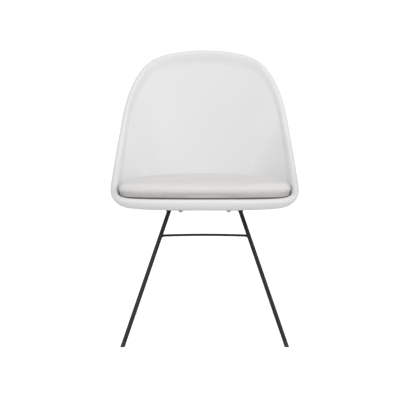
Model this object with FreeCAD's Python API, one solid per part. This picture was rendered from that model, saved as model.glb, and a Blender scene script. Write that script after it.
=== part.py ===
import FreeCAD, Part
import math
import os

# Moulded shell chair on a bent-rod base. Millimetres: X across, Y towards the back, Z up.
# The chair faces -Y. The origin is on the floor under the middle of the chair's bounding box.

Vector = FreeCAD.Vector
UP = Vector(0, 0, 1)

# Overall sizes
shell_width = 543.0
chair_height = 850.0
seat_underside = 380.0
rim_front = -250.0
rim_back = 250.0

# Shell wall and its thick rolled rim
shell_wall = 6.0
rim_bead = 20.0
rim_bead_blend = 36.0
front_lip_rise = 25.0

# Flat pan in the bottom of the shell
pan_width = 290.0
pan_front = -170.0
pan_back = 95.0

# Lean of the wall at the rim, in degrees from upright
lean_back = 13.0
lean_side = 30.0
lean_front = -12.0

# Fullness of the curve between pan and rim: 0 is a straight slope, 1 a square corner
pan_fullness_back = 0.62
pan_fullness_front = 0.90
wall_fullness = 0.62

# Middle of the rim bead, from the front round one side to the middle of the top.
# Each station is a share of the half width, of the depth and of the rise of the rim.
rim_stations = [
    (0.000, 0.000, 0.000),
    (0.380, 0.005, 0.000),
    (0.700, 0.027, 0.001),
    (0.872, 0.066, 0.008),
    (0.954, 0.130, 0.028),
    (0.986, 0.215, 0.060),
    (0.997, 0.330, 0.107),
    (1.000, 0.460, 0.168),
    (0.991, 0.600, 0.281),
    (0.963, 0.710, 0.420),
    (0.918, 0.800, 0.590),
    (0.797, 0.892, 0.800),
    (0.612, 0.954, 0.930),
    (0.326, 0.989, 0.984),
    (0.000, 1.000, 1.000),
]
rim_samples = 48
profile_steps = 80
wall_ring_shares = (0, 0.05, 0.16, 0.3, 0.45, 0.6, 0.75, 0.88, 1)
bead_ring_distances = (27, 18, 9, 0)
bead_angles = (-60, -30, 0, 30, 60)

# Bosses under the pan, with moulded-in threaded inserts
boss_spacing_x = 140.0
boss_spacing_y = 120.0
boss_diameter = 24.0
boss_height = 8.0
insert_diameter = 9.5
insert_length = 12.0
insert_groove_depth = 0.6
insert_groove_width = 2.0

# Fastening stack under each boss
screw_diameter = 6.0
screw_length = 16.0
screw_head_diameter = 11.0
screw_head_height = 3.3
screw_socket_width = 4.0
screw_socket_depth = 2.0
washer_diameter = 14.0
washer_thickness = 1.6
spring_washer_diameter = 11.8
spring_washer_thickness = 1.6
spring_washer_gap = 1.2
spacer_thickness = 1.0
screw_clearance = 0.6
thread_clearance = 0.1

# Steel mounting plate
plate_thickness = 4.0
plate_width = 236.0
plate_depth = 140.0
plate_corner = 20.0
plate_window_width = 80.0
plate_window_depth = 70.0
plate_window_corner = 15.0

# Leg frames: one bent rod on each side
rod_diameter = 12.0
feet_across = 459.0
feet_along = 440.0
frame_top_across = 211.0
frame_top_run = 180.0
frame_bend_radius = 30.0

# Foot glides, flush with the rod, on a turned-down spigot
glide_length = 16.0
glide_spigot_diameter = 8.0
glide_sole = 5.0
glide_clearance = 0.05

# Front crossbar, behind the front legs; its height is a share of the frame top's height
bar_diameter = 7.0
bar_height_share = 0.831
bar_bend_radius = 15.0
bar_tail = 22.0
bar_end_slope = 2.0

# Weld beads
plate_weld_length = 110.0
plate_weld_reach = 8.0
plate_weld_root = 2.4
bar_weld_reach = 4.2
bar_weld_root = 1.3
bar_weld_shoulder = 3.4

# Seat cushion; the rises are above the pan
cushion_rise = 86.0
cushion_shoulder_rise = 72.0
cushion_belly_rise = 52.0
cushion_overhang = 17.0
cushion_clearance = 2.2
cushion_lip_gap = 3.0
cushion_edge_inset = 16.0
cushion_base_inset = 6.0
cushion_base_share = 0.33
cushion_crown_scales = (0.84, 0.62, 0.36, 0.14)
cushion_wall_steps = 6
cushion_shoulder_steps = 4
cover_thickness = 1.2
panel_thickness = 1.2
panel_inset = 16.0

# Hook and loop patches between cushion and pan
patch_thickness = 1.0
patch_width = 60.0
patch_depth = 25.0
patch_corner = 4.0
patch_spacing_x = 150.0
patch_spacing_y = 150.0

# Levels that follow from the sizes above
pan_top = seat_underside + shell_wall
boss_face = seat_underside - boss_height
plate_top = boss_face - spacer_thickness
plate_underside = plate_top - plate_thickness
frame_top = plate_underside - rod_diameter / 2
panel_level = pan_top + 2 * patch_thickness
cushion_base = panel_level + panel_thickness
cushion_top = pan_top + cushion_rise
cushion_shoulder = pan_top + cushion_shoulder_rise
cushion_belly = pan_top + cushion_belly_rise


def unit(vector):
    """The vector at length one."""
    return vector * (1 / vector.Length)


def blend(share):
    """Smooth step from 0 to 1."""
    share = max(0.0, min(1.0, share))
    return share * share * (3 - 2 * share)


def rim_points():
    """Evenly spaced points along the middle of the rim bead, from the front middle round by +X."""
    bead = rim_bead / 2
    half_width = shell_width / 2 - bead
    front = rim_front + bead
    depth = rim_back - bead - front
    low = seat_underside + front_lip_rise
    rise = chair_height - bead - low
    side = [Vector(a * half_width, front + b * depth, low + c * rise) for a, b, c in rim_stations]
    other_side = [Vector(-p.x, p.y, p.z) for p in reversed(side[1:-1])]
    curve = Part.BSplineCurve()
    curve.interpolate(Points=side + other_side, PeriodicFlag=True)
    return curve.toShape().discretize(Number=rim_samples + 1)[:-1]


class WallProfile:
    """The middle of the shell wall from the pan out to one point of the rim."""

    def __init__(self, rim):
        pan_level = seat_underside + shell_wall / 2
        half_width = shell_width / 2 - rim_bead / 2
        half_depth = (rim_back - rim_front - rim_bead) / 2
        rim_middle = (rim_back + rim_front) / 2
        across = rim.x / half_width
        along = (rim.y - rim_middle) / half_depth
        pan_middle = (pan_front + pan_back) / 2
        pan_depth = pan_back - pan_front
        start = Vector(across * pan_width / 2, pan_middle + along * pan_depth / 2, pan_level)
        run = Vector(rim.x - start.x, rim.y - start.y, 0)
        self.outward = unit(run)
        lean_along = lean_back if self.outward.y > 0 else lean_front
        lean = lean_side * self.outward.x ** 2 + lean_along * self.outward.y ** 2
        lean = math.radians(lean)
        self.rim_direction = self.outward * math.sin(lean) + UP * math.cos(lean)
        reach = wall_fullness * (rim.z - pan_level) / math.cos(lean)
        forward = blend((1 - self.outward.y) / 2)
        fullness = pan_fullness_back + (pan_fullness_front - pan_fullness_back) * forward
        self.poles = [
            start,
            start + self.outward * (fullness * run.Length),
            rim - self.rim_direction * reach,
            rim,
        ]
        self.points = [self.at(i / profile_steps) for i in range(profile_steps + 1)]
        self.lengths = [0.0]
        for a, b in zip(self.points, self.points[1:]):
            self.lengths.append(self.lengths[-1] + (b - a).Length)
        self.length = self.lengths[-1]

    def at(self, share):
        """Point on the profile's curve at a share of its parameter."""
        a, b, c, d = self.poles
        rest = 1 - share
        return (a * rest ** 3 + b * (3 * rest ** 2 * share)
                + c * (3 * rest * share ** 2) + d * share ** 3)

    def at_length(self, distance):
        """Point on the profile at a distance along it from the pan."""
        for i in range(1, len(self.points)):
            if self.lengths[i] >= distance or i == len(self.points) - 1:
                step = self.lengths[i] - self.lengths[i - 1]
                share = (distance - self.lengths[i - 1]) / step
                return self.points[i - 1] + (self.points[i] - self.points[i - 1]) * share


def wall_rings_of(profiles):
    """Rings of the wall's middle surface, each with its distance to the rim, from pan to rim."""
    rings = []
    for share in wall_ring_shares:
        distances = [p.length - share * (p.length - rim_bead_blend) for p in profiles]
        rings.append([(p.at_length(p.length - d), d) for p, d in zip(profiles, distances)])
    for distance in bead_ring_distances:
        rings.append([(p.at_length(p.length - distance), distance) for p in profiles])
    return rings


def ring_normals(rings, level):
    """Unit normals of the middle surface on one ring, pointing into the seat."""
    normals = []
    ring = rings[level]
    count = len(ring)
    for i in range(count):
        if level == 0:
            normals.append(UP)
            continue
        along = ring[(i + 1) % count][0] - ring[i - 1][0]
        above = rings[min(level + 1, len(rings) - 1)][i][0]
        below = rings[level - 1][i][0]
        normals.append(unit((above - below).cross(along)))
    return normals


def closed_surface(rings):
    """Smooth tube-like face through closed rings, with the two end rings closed by flat faces."""
    count = len(rings[0])
    round_parameters = [i / count for i in range(count + 1)]
    ring_curves = []
    for ring in rings:
        curve = Part.BSplineCurve()
        curve.interpolate(Points=ring, PeriodicFlag=True, Parameters=round_parameters)
        ring_curves.append(curve)
    lengths = [0.0]
    for lower, upper in zip(rings, rings[1:]):
        steps = [(b - a).Length for a, b in zip(lower, upper)]
        lengths.append(lengths[-1] + sum(steps) / count)
    up_parameters = [length / lengths[-1] for length in lengths]
    columns = []
    for j in range(ring_curves[0].NbPoles):
        column = Part.BSplineCurve()
        column.interpolate(Points=[c.getPole(j + 1) for c in ring_curves], Parameters=up_parameters)
        columns.append(column)
    surface = Part.BSplineSurface()
    surface.buildFromPolesMultsKnots(
        [column.getPoles() for column in columns],
        ring_curves[0].getMultiplicities(),
        columns[0].getMultiplicities(),
        ring_curves[0].getKnots(),
        columns[0].getKnots(),
        True,
        False,
        3,
        3,
    )
    skin = surface.toShape()
    ends = [edge for edge in skin.Edges if edge.isClosed()]
    faces = [skin] + [Part.Face(Part.Wire([edge])) for edge in ends]
    shell = Part.makeShell(faces)
    shell.sewShape()
    return Part.makeSolid(shell)


def wall_skins(profiles):
    """Rings on the outer skin, round the rolled rim and on the inner skin of the shell wall."""
    rings = wall_rings_of(profiles)
    outer = []
    inner = []
    for level, ring in enumerate(rings):
        outer_ring = []
        inner_ring = []
        for (point, distance), normal in zip(ring, ring_normals(rings, level)):
            swell = blend(1 - distance / rim_bead_blend)
            half = shell_wall / 2 + (rim_bead - shell_wall) / 2 * swell
            outer_ring.append(point - normal * half)
            inner_ring.append(point + normal * half)
        outer.append(outer_ring)
        inner.append(inner_ring)
    rim = [point for point, distance in rings[-1]]
    normals = ring_normals(rings, len(rings) - 1)
    bead = []
    for angle in bead_angles:
        turn = math.radians(angle)
        bead_ring = []
        for i, (point, normal) in enumerate(zip(rim, normals)):
            along = unit(rim[(i + 1) % len(rim)] - rim[i - 1])
            out = profiles[i].rim_direction
            out = out - along * out.dot(along)
            out = unit(out - normal * out.dot(normal))
            spoke = out * math.cos(turn) + normal * math.sin(turn)
            bead_ring.append(point + spoke * (rim_bead / 2))
        bead.append(bead_ring)
    return outer, bead, inner


def cylinder(diameter, height, base, axis=UP):
    """Solid cylinder from its base centre along an axis."""
    return Part.makeCylinder(diameter / 2, height, base, axis)


def grid(spacing_x, spacing_y, middle_y=0.0):
    """The four corner points of a rectangle about the chair's middle plane."""
    return [(x * spacing_x / 2, middle_y + y * spacing_y / 2) for y in (-1, 1) for x in (-1, 1)]


def rounded_slab(width, depth, corner, base, thickness, middle_y=0.0):
    """Flat slab with rounded corners."""
    slab = Part.makeBox(width, depth, thickness, Vector(-width / 2, middle_y - depth / 2, base))
    upright = [edge for edge in slab.Edges if edge.BoundBox.ZLength > thickness / 2]
    return slab.makeFillet(corner, upright)


def rounded_path(points, radius):
    """Wire of straight runs joined by tangent arcs of one radius."""
    edges = []
    start = points[0]
    for before, corner, after in zip(points, points[1:], points[2:]):
        back = unit(before - corner)
        ahead = unit(after - corner)
        opening = back.getAngle(ahead)
        setback = radius / math.tan(opening / 2)
        middle = unit(back + ahead) * (radius / math.sin(opening / 2) - radius)
        arc_start = corner + back * setback
        arc_end = corner + ahead * setback
        edges.append(Part.LineSegment(start, arc_start).toShape())
        edges.append(Part.Arc(arc_start, corner + middle, arc_end).toShape())
        start = arc_end
    edges.append(Part.LineSegment(start, points[-1]).toShape())
    return Part.Wire(edges)


def sweep_rod(path, diameter, start, direction):
    """Round rod along a path."""
    circle = Part.Circle(start, direction, diameter / 2)
    profile = Part.Wire([circle.toShape()])
    return path.makePipeShell([profile], True, True)


def insert_blank(x, y):
    """Outside of one threaded insert, with its anchoring groove."""
    blank = cylinder(insert_diameter, insert_length, Vector(x, y, boss_face))
    groove_base = Vector(x, y, boss_face + (insert_length - insert_groove_width) / 2)
    groove = cylinder(insert_diameter, insert_groove_width, groove_base)
    core = cylinder(insert_diameter - 2 * insert_groove_depth, insert_groove_width, groove_base)
    return blank.cut(groove.cut(core))


def make_shell(outer, bead, inner):
    """Moulded shell with four bosses that hold the inserts."""
    shell = closed_surface(outer + bead + inner[::-1])
    for x, y in grid(boss_spacing_x, boss_spacing_y):
        boss = cylinder(boss_diameter, boss_height + shell_wall / 2, Vector(x, y, boss_face))
        shell = shell.fuse(boss)
    for x, y in grid(boss_spacing_x, boss_spacing_y):
        shell = shell.cut(insert_blank(x, y))
    return shell


def make_inserts():
    """Four threaded inserts; the thread is a plain bore."""
    inserts = []
    for x, y in grid(boss_spacing_x, boss_spacing_y):
        bore = cylinder(screw_diameter + thread_clearance, insert_length, Vector(x, y, boss_face))
        inserts.append(insert_blank(x, y).cut(bore))
    return Part.makeCompound(inserts)


def make_spacers():
    """Four thin plastic discs between bosses and plate."""
    discs = []
    for x, y in grid(boss_spacing_x, boss_spacing_y):
        base = Vector(x, y, plate_top)
        disc = cylinder(boss_diameter, spacer_thickness, base)
        discs.append(disc.cut(cylinder(screw_diameter + screw_clearance, spacer_thickness, base)))
    return Part.makeCompound(discs)


def make_plate():
    """Steel plate with a lightening window and four screw holes."""
    plate = rounded_slab(plate_width, plate_depth, plate_corner, plate_underside, plate_thickness)
    window = rounded_slab(plate_window_width, plate_window_depth, plate_window_corner,
                          plate_underside, plate_thickness)
    plate = plate.cut(window)
    for x, y in grid(boss_spacing_x, boss_spacing_y):
        hole = cylinder(screw_diameter + screw_clearance, plate_thickness, Vector(x, y, plate_underside))
        plate = plate.cut(hole)
    return plate


def washer_ring(diameter, thickness, x, y, base):
    """Flat ring that clears the screw."""
    ring = cylinder(diameter, thickness, Vector(x, y, base))
    return ring.cut(cylinder(screw_diameter + screw_clearance, thickness, Vector(x, y, base)))


def make_washers():
    """Four flat washers against the plate."""
    base = plate_underside - washer_thickness
    points = grid(boss_spacing_x, boss_spacing_y)
    rings = [washer_ring(washer_diameter, washer_thickness, x, y, base) for x, y in points]
    return Part.makeCompound(rings)


def make_spring_washers():
    """Four split spring washers, drawn flat, under the screw heads."""
    base = plate_underside - washer_thickness - spring_washer_thickness
    rings = []
    for x, y in grid(boss_spacing_x, boss_spacing_y):
        ring = washer_ring(spring_washer_diameter, spring_washer_thickness, x, y, base)
        split = Part.makeBox(spring_washer_diameter, spring_washer_gap, spring_washer_thickness,
                             Vector(x, y - spring_washer_gap / 2, base))
        rings.append(ring.cut(split))
    return Part.makeCompound(rings)


def make_screws():
    """Four button-head screws with hexagon sockets, heads down."""
    seat = plate_underside - washer_thickness - spring_washer_thickness
    screws = []
    for x, y in grid(boss_spacing_x, boss_spacing_y):
        shank = cylinder(screw_diameter, screw_length, Vector(x, y, seat))
        crown = seat - screw_head_height
        head = cylinder(screw_head_diameter, screw_head_height, Vector(x, y, crown))
        lower_edge = [edge for edge in head.Edges if edge.BoundBox.ZMax < seat - screw_head_height / 2]
        head = head.makeFillet(screw_head_height / 2, lower_edge)
        corner_radius = screw_socket_width / 2 / math.cos(math.radians(30))
        corners = []
        for k in range(7):
            turn = math.radians(60 * k)
            corner = Vector(math.cos(turn), math.sin(turn), 0) * corner_radius
            corners.append(Vector(x, y, crown) + corner)
        socket = Part.Face(Part.makePolygon(corners)).extrude(UP * screw_socket_depth)
        screws.append(head.fuse(shank).removeSplitter().cut(socket))
    return Part.makeCompound(screws)


def foot_point(side, end):
    """Where a leg's axis meets the floor."""
    return Vector(side * feet_across / 2, end * feet_along / 2, 0)


def top_point(side, end):
    """Where a leg's axis meets the axis of the frame's top run."""
    return Vector(side * frame_top_across / 2, end * frame_top_run / 2, frame_top)


def leg_direction(side, end):
    """Unit vector up a leg."""
    return unit(top_point(side, end) - foot_point(side, end))


def make_leg_frame(side):
    """Bent rod with a front and a rear leg, each ending in a spigot for its glide."""
    starts = {end: foot_point(side, end) + leg_direction(side, end) * glide_length for end in (-1, 1)}
    points = [starts[-1], top_point(side, -1), top_point(side, 1), starts[1]]
    path = rounded_path(points, frame_bend_radius)
    frame = sweep_rod(path, rod_diameter, starts[-1], leg_direction(side, -1))
    for end in (-1, 1):
        up = leg_direction(side, end)
        tip = foot_point(side, end) + up * (glide_sole + glide_clearance)
        length = glide_length - glide_sole - glide_clearance
        frame = frame.fuse(cylinder(glide_spigot_diameter, length, tip, up))
    return frame


def make_glide(side, end):
    """Plastic glide, flush with the rod and cut flat at the floor."""
    up = leg_direction(side, end)
    foot = foot_point(side, end)
    glide = cylinder(rod_diameter, glide_length + rod_diameter, foot - up * rod_diameter, up)
    bore = cylinder(glide_spigot_diameter + 2 * glide_clearance, glide_length, foot + up * glide_sole, up)
    floor_block = Part.makeBox(4 * rod_diameter, 4 * rod_diameter, 2 * rod_diameter,
                               foot - Vector(2 * rod_diameter, 2 * rod_diameter, 2 * rod_diameter))
    return glide.cut(bore).cut(floor_block)


class BarPlane:
    """Plane of the crossbar's middle line, behind the plane of the two front legs."""

    def __init__(self):
        self.foot = foot_point(1, -1)
        self.top = top_point(1, -1)
        rise = Vector(0, self.top.y - self.foot.y, self.top.z)
        self.height = rise.Length
        self.up = unit(rise)
        self.behind = Vector(0, self.up.z, -self.up.y)
        self.offset = (rod_diameter + bar_diameter) / 2

    def place(self, x, along):
        """Point of the plane at x and at a distance up from the floor line."""
        return Vector(x, self.foot.y, 0) + self.up * along + self.behind * self.offset

    def leg_slope(self):
        """How far the leg moves in towards the middle for each unit up."""
        return (self.foot.x - self.top.x) / self.height


def make_crossbar():
    """Arched rod whose ends turn down along the backs of the front legs."""
    plane = BarPlane()
    slope = math.radians(bar_end_slope)
    leg_slope = plane.leg_slope()
    middle = (bar_height_share * frame_top + plane.offset * plane.up.y) / plane.up.z
    down_leg = unit(Vector(leg_slope, -1, 0))
    bar_out = Vector(math.cos(slope), -math.sin(slope), 0)
    turn = bar_out.getAngle(down_leg)
    setback = bar_bend_radius * math.tan(turn / 2)
    half = math.tan(slope / 2)
    corner_up = middle - (plane.foot.x - setback * math.cos(slope)) * half - setback * math.sin(slope)
    corner_up = corner_up / (1 - leg_slope * half)
    corner = Vector(plane.foot.x - leg_slope * corner_up, corner_up, 0)
    arch_end = corner - bar_out * setback
    tail_start = corner + down_leg * setback
    tail_end = tail_start + down_leg * bar_tail
    inward = unit(down_leg - bar_out)
    bend_middle = corner + inward * (bar_bend_radius / math.cos(turn / 2) - bar_bend_radius)

    def at(point, side=1):
        return plane.place(side * point.x, point.y)

    edges = [
        Part.LineSegment(at(tail_end, -1), at(tail_start, -1)).toShape(),
        Part.Arc(at(tail_start, -1), at(bend_middle, -1), at(arch_end, -1)).toShape(),
        Part.Arc(at(arch_end, -1), plane.place(0, middle), at(arch_end)).toShape(),
        Part.Arc(at(arch_end), at(bend_middle), at(tail_start)).toShape(),
        Part.LineSegment(at(tail_start), at(tail_end)).toShape(),
    ]
    start = at(tail_end, -1)
    bar = sweep_rod(Part.Wire(edges), bar_diameter, start, at(tail_start, -1) - start)
    return bar, {side: (at(tail_end, side), at(tail_start, side)) for side in (-1, 1)}


def prism(corners, start, end):
    """Straight bar with a polygon for its section, between two points."""
    wire = Part.makePolygon(corners + corners[:1])
    return Part.Face(wire).extrude(end - start)


def make_welds(tails):
    """Fillet welds between rods and plate, and between crossbar tails and legs."""
    beads = []
    radius = rod_diameter / 2
    for side in (-1, 1):
        x = side * frame_top_across / 2
        start = Vector(x, -plate_weld_length / 2, plate_underside)
        end = start + Vector(0, plate_weld_length, 0)
        run_start = Vector(x, -frame_top_run / 2, frame_top)
        rod = cylinder(rod_diameter, frame_top_run, run_start, Vector(0, 1, 0))
        for flank in (-1, 1):
            outline = [(plate_weld_root, 0), (plate_weld_reach, 0),
                       (radius, -radius), (plate_weld_root, -plate_weld_root)]
            corners = [start + Vector(flank * across, 0, down) for across, down in outline]
            beads.append(prism(corners, start, end).cut(rod))
        tail_end, tail_start = tails[side]
        up = unit(tail_start - tail_end)
        behind = BarPlane().behind
        across = up.cross(behind)
        offset = (rod_diameter + bar_diameter) / 2
        leg_base = tail_end - behind * offset
        outline = [(radius - bar_weld_root, bar_weld_reach), (radius + bar_weld_root, bar_weld_shoulder),
                   (radius + bar_weld_root, bar_weld_root), (radius - bar_weld_root / 2, bar_weld_root)]
        leg = cylinder(rod_diameter, 2 * bar_tail, leg_base - up * bar_tail / 2, up)
        tail = cylinder(bar_diameter, 2 * bar_tail, tail_end - up * bar_tail / 2, up)
        for flank in (-1, 1):
            corners = [leg_base + behind * out + across * (flank * aside) for out, aside in outline]
            beads.append(prism(corners, tail_end, tail_start).cut(leg).cut(tail))
    return Part.makeCompound(beads)


def wall_limit(inner, column, height):
    """Point of the shell's inner skin in one column at a height, or its highest point."""
    for lower, upper in zip(inner, inner[1:]):
        if upper[column].z >= height:
            step = upper[column] - lower[column]
            return lower[column] + step * max(0.0, (height - lower[column].z) / step.z)
    return inner[-1][column]


def arc_ring(points):
    """Closed level wire of short arcs through a ring of points."""
    count = len(points)
    arcs = []
    for i in range(0, count, 2):
        arcs.append(Part.Arc(points[i], points[i + 1], points[(i + 2) % count]).toShape())
    return Part.Wire(arcs)


def cushion_rings(profiles, inner, inset, lower_by):
    """Level rings of the cushion's form, pulled in by an inset and lowered at the top."""
    rim = [profile.at(1.0) for profile in profiles]
    front_lip = rim[0].z + rim_bead / 2 + cushion_lip_gap
    count = len(profiles)

    def wall_ring(height, clearance):
        ring = []
        for i in range(count):
            limit = wall_limit(inner, i, height)
            lip = rim[i].z + rim_bead / 2 + cushion_lip_gap
            over = cushion_overhang * blend((height - lip) / (cushion_belly - front_lip))
            point = limit + profiles[i].outward * (over - clearance - inset)
            ring.append(Vector(point.x, point.y, height))
        return ring

    rings = []
    for step in range(cushion_wall_steps + 1):
        share = step / cushion_wall_steps
        clearance = cushion_clearance + cushion_base_inset * (1 - blend(share / cushion_base_share))
        rings.append(wall_ring(cushion_base + share * (cushion_belly - cushion_base), clearance))
    belly = rings[-1]
    shoulder = cushion_shoulder - lower_by
    for step in range(1, cushion_shoulder_steps + 1):
        angle = math.radians(90) * step / (cushion_shoulder_steps + 1)
        pull = cushion_edge_inset * (1 - math.cos(angle))
        height = cushion_belly + (shoulder - cushion_belly) * math.sin(angle)
        rings.append([Vector(p.x, p.y, height) - q.outward * pull for p, q in zip(belly, profiles)])
    middle_y = (belly[0].y + belly[count // 2].y) / 2
    edge = [p - q.outward * cushion_edge_inset for p, q in zip(belly, profiles)]
    for scale in cushion_crown_scales:
        height = shoulder + (cushion_top - lower_by - shoulder) * (1 - scale ** 2)
        ring = [Vector(p.x * scale, middle_y + (p.y - middle_y) * scale, height) for p in edge]
        rings.append(ring)
    return rings


def ring_solid(rings):
    """Closed solid, ruled from each level ring to the next."""
    return Part.makeLoft([arc_ring(ring) for ring in rings], True, True)


def make_cushion(profiles, inner):
    """Foam core, cover that is open below, and underside panel."""
    foam = ring_solid(cushion_rings(profiles, inner, cover_thickness, cover_thickness))
    rings = cushion_rings(profiles, inner, 0.0, 0.0)
    cover = ring_solid(rings).cut(foam)
    outline = [Vector(p.x, p.y, panel_level) - q.outward * panel_inset for p, q in zip(rings[0], profiles)]
    panel = Part.Face(arc_ring(outline)).extrude(UP * panel_thickness)
    return foam, cover, panel


def make_patches(base):
    """Four rounded patches under the cushion."""
    middle_y = (pan_front + pan_back) / 2
    patches = []
    for x, y in grid(patch_spacing_x, patch_spacing_y, middle_y):
        patch = rounded_slab(patch_width, patch_depth, patch_corner, base, patch_thickness)
        patch.translate(Vector(x, y, 0))
        patches.append(patch)
    return Part.makeCompound(patches)


def write_node(name, shape):
    """Write one node and print its checks."""
    shape.exportStep("parts/" + name + ".step")
    state = "valid" if shape.isValid() else "INVALID"
    print(name, len(shape.Solids), state, round(shape.Volume / 1000, 2))


os.makedirs("parts", exist_ok=True)
profiles = [WallProfile(point) for point in rim_points()]
outer, bead, inner = wall_skins(profiles)
foam, cover, panel = make_cushion(profiles, inner)
crossbar, tails = make_crossbar()
write_node("seat_shell", make_shell(outer, bead, inner))
write_node("shell_inserts", make_inserts())
write_node("boss_spacers", make_spacers())
write_node("mounting_plate", make_plate())
write_node("plate_washers", make_washers())
write_node("spring_washers", make_spring_washers())
write_node("plate_screws", make_screws())
write_node("left_leg_frame", make_leg_frame(1))
write_node("right_leg_frame", make_leg_frame(-1))
write_node("front_crossbar", crossbar)
write_node("weld_beads", make_welds(tails))
write_node("glide_front_left", make_glide(1, -1))
write_node("glide_front_right", make_glide(-1, -1))
write_node("glide_rear_left", make_glide(1, 1))
write_node("glide_rear_right", make_glide(-1, 1))
write_node("cushion_foam", foam)
write_node("cushion_cover", cover)
write_node("cushion_panel", panel)
write_node("hook_patches", make_patches(pan_top))
write_node("loop_patches", make_patches(pan_top + patch_thickness))
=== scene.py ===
"""Moulded shell chair on a bent-rod base: the looks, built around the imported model.

Metres, X across, Y towards the back, Z up; the chair faces -Y and stands on Z = 0.
"""

import logging
import math
from dataclasses import dataclass, field
from enum import Enum

import bmesh
import bpy
import numpy as np
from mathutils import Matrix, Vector
from mathutils.bvhtree import BVHTree


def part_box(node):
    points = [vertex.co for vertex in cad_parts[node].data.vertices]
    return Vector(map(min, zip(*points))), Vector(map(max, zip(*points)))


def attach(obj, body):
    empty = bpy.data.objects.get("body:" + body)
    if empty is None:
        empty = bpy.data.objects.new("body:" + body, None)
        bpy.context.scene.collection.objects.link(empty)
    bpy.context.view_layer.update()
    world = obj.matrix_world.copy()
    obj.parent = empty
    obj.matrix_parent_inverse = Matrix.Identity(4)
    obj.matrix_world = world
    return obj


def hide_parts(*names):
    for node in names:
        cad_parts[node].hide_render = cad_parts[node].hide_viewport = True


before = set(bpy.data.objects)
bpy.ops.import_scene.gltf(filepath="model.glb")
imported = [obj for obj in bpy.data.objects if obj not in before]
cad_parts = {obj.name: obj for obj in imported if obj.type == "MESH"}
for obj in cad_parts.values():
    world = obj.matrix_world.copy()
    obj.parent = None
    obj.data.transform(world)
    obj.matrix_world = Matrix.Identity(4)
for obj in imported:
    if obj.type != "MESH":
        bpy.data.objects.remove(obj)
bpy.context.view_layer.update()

LOG = logging.getLogger("shell_chair")
BODY = "root"
UP = np.array((0.0, 0.0, 1.0))

# Shares of an end ring at which a loft's cap has its rings, and the rim turn of points off the rim
CAP_SHARES = (0.72, 0.44, 0.18)
OFF_RIM = 9.0
# Least and greatest size of a weld ripple, and how flat it lies
RIPPLE_SIZES = (0.88, 1.06)
RIPPLE_SQUASH = (1.0, 1.0, 0.62)

Piece = bpy.types.Object
Socket = bpy.types.NodeSocket
Material = bpy.types.Material
Triple = tuple[float, float, float]


class Slot(Enum):
    """Material slots of the record."""

    SHELL = "shell_white"
    COVER = "cover_white"
    FOAM = "foam"
    LINING = "lining"
    HOOK_LOOP = "hook_loop"
    POWDER_COAT = "powder_coat"
    ZINC = "zinc_steel"
    BRASS = "insert_brass"
    GLIDE = "glide_black"
    SPACER = "spacer_grey"


class Side(Enum):
    """Sides of the chair, as the sitter has them."""

    LEFT = 1
    RIGHT = -1


class End(Enum):
    """Ends of the chair along Y."""

    FRONT = -1
    REAR = 1


# Small sums


def smooth_step(share: np.ndarray | float) -> np.ndarray:
    """Smooth step from 0 to 1."""
    share = np.clip(share, 0.0, 1.0)
    return share * share * (3 - 2 * share)


def unit(vectors: np.ndarray) -> np.ndarray:
    """The vectors at length one, along their last axis."""
    return vectors / np.linalg.norm(vectors, axis=-1, keepdims=True)


def closed_spline(points: np.ndarray, count: int) -> np.ndarray:
    """Evenly spaced points on the smooth closed curve through some points.

    Args:
        points: The points to pass through, as rows.
        count: How many points to return.

    Returns:
        The points as rows, starting at the first given one.
    """
    number = len(points)
    steps = np.linalg.norm(np.roll(points, -1, 0) - points, axis=1)
    system = np.zeros((number, number))
    right = np.zeros((number, 3))
    for i in range(number):
        before, after = steps[i - 1], steps[i]
        system[i, i - 1] += before
        system[i, i] += 2 * (before + after)
        system[i, (i + 1) % number] += after
        slope = (points[(i + 1) % number] - points[i]) / after - (points[i] - points[i - 1]) / before
        right[i] = 6 * slope
    bends = np.linalg.solve(system, right)
    dense = []
    for i in range(number):
        j = (i + 1) % number
        step = steps[i]
        t = np.linspace(0, step, 80, endpoint=False)[:, None]
        rest = step - t
        dense.append(
            bends[i] * rest**3 / (6 * step)
            + bends[j] * t**3 / (6 * step)
            + (points[i] / step - bends[i] * step / 6) * rest
            + (points[j] / step - bends[j] * step / 6) * t
        )
    line = np.vstack(dense + [points[:1]])
    lengths = np.concatenate([[0], np.cumsum(np.linalg.norm(np.diff(line, axis=0), axis=1))])
    wanted = np.linspace(0, lengths[-1], count, endpoint=False)
    return np.stack([np.interp(wanted, lengths, line[:, axis]) for axis in range(3)], axis=1)


def rounded_path(corners: list[np.ndarray], radius: float, steps: int = 14) -> list[np.ndarray]:
    """Points of straight runs joined by tangent arcs.

    Args:
        corners: Start, corners and end of the runs.
        radius: Radius of the arcs.
        steps: Straight pieces in each arc.

    Returns:
        The path's points in order.
    """
    path = [corners[0]]
    for before, corner, after in zip(corners, corners[1:], corners[2:]):
        back, ahead = unit(before - corner), unit(after - corner)
        opening = math.acos(float(np.clip(back @ ahead, -1, 1)))
        setback = radius / math.tan(opening / 2)
        centre = corner + unit(back + ahead) * (radius / math.sin(opening / 2))
        start, end = corner + back * setback - centre, corner + ahead * setback - centre
        sweep = math.pi - opening
        for k in range(steps + 1):
            turn = sweep * k / steps
            path.append(centre + (start * math.sin(sweep - turn) + end * math.sin(turn)) / math.sin(sweep))
    path.append(corners[-1])
    return path


# Making pieces


def shade_smooth(mesh: bpy.types.Mesh) -> None:
    """Shade every face of a mesh smooth."""
    mesh.polygons.foreach_set("use_smooth", [True] * len(mesh.polygons))


def subdivide(piece: Piece) -> None:
    """Give a piece one level of smooth subdivision."""
    smooth = piece.modifiers.new("smooth", "SUBSURF")
    smooth.levels = smooth.render_levels = 1


def new_object(name: str, data: bpy.types.ID) -> Piece:
    """Put a new object at the scene's origin.

    Args:
        name: The object's name.
        data: Its mesh, light or camera.

    Returns:
        The object.
    """
    made = bpy.data.objects.new(name, data)
    bpy.context.scene.collection.objects.link(made)
    return made


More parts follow.
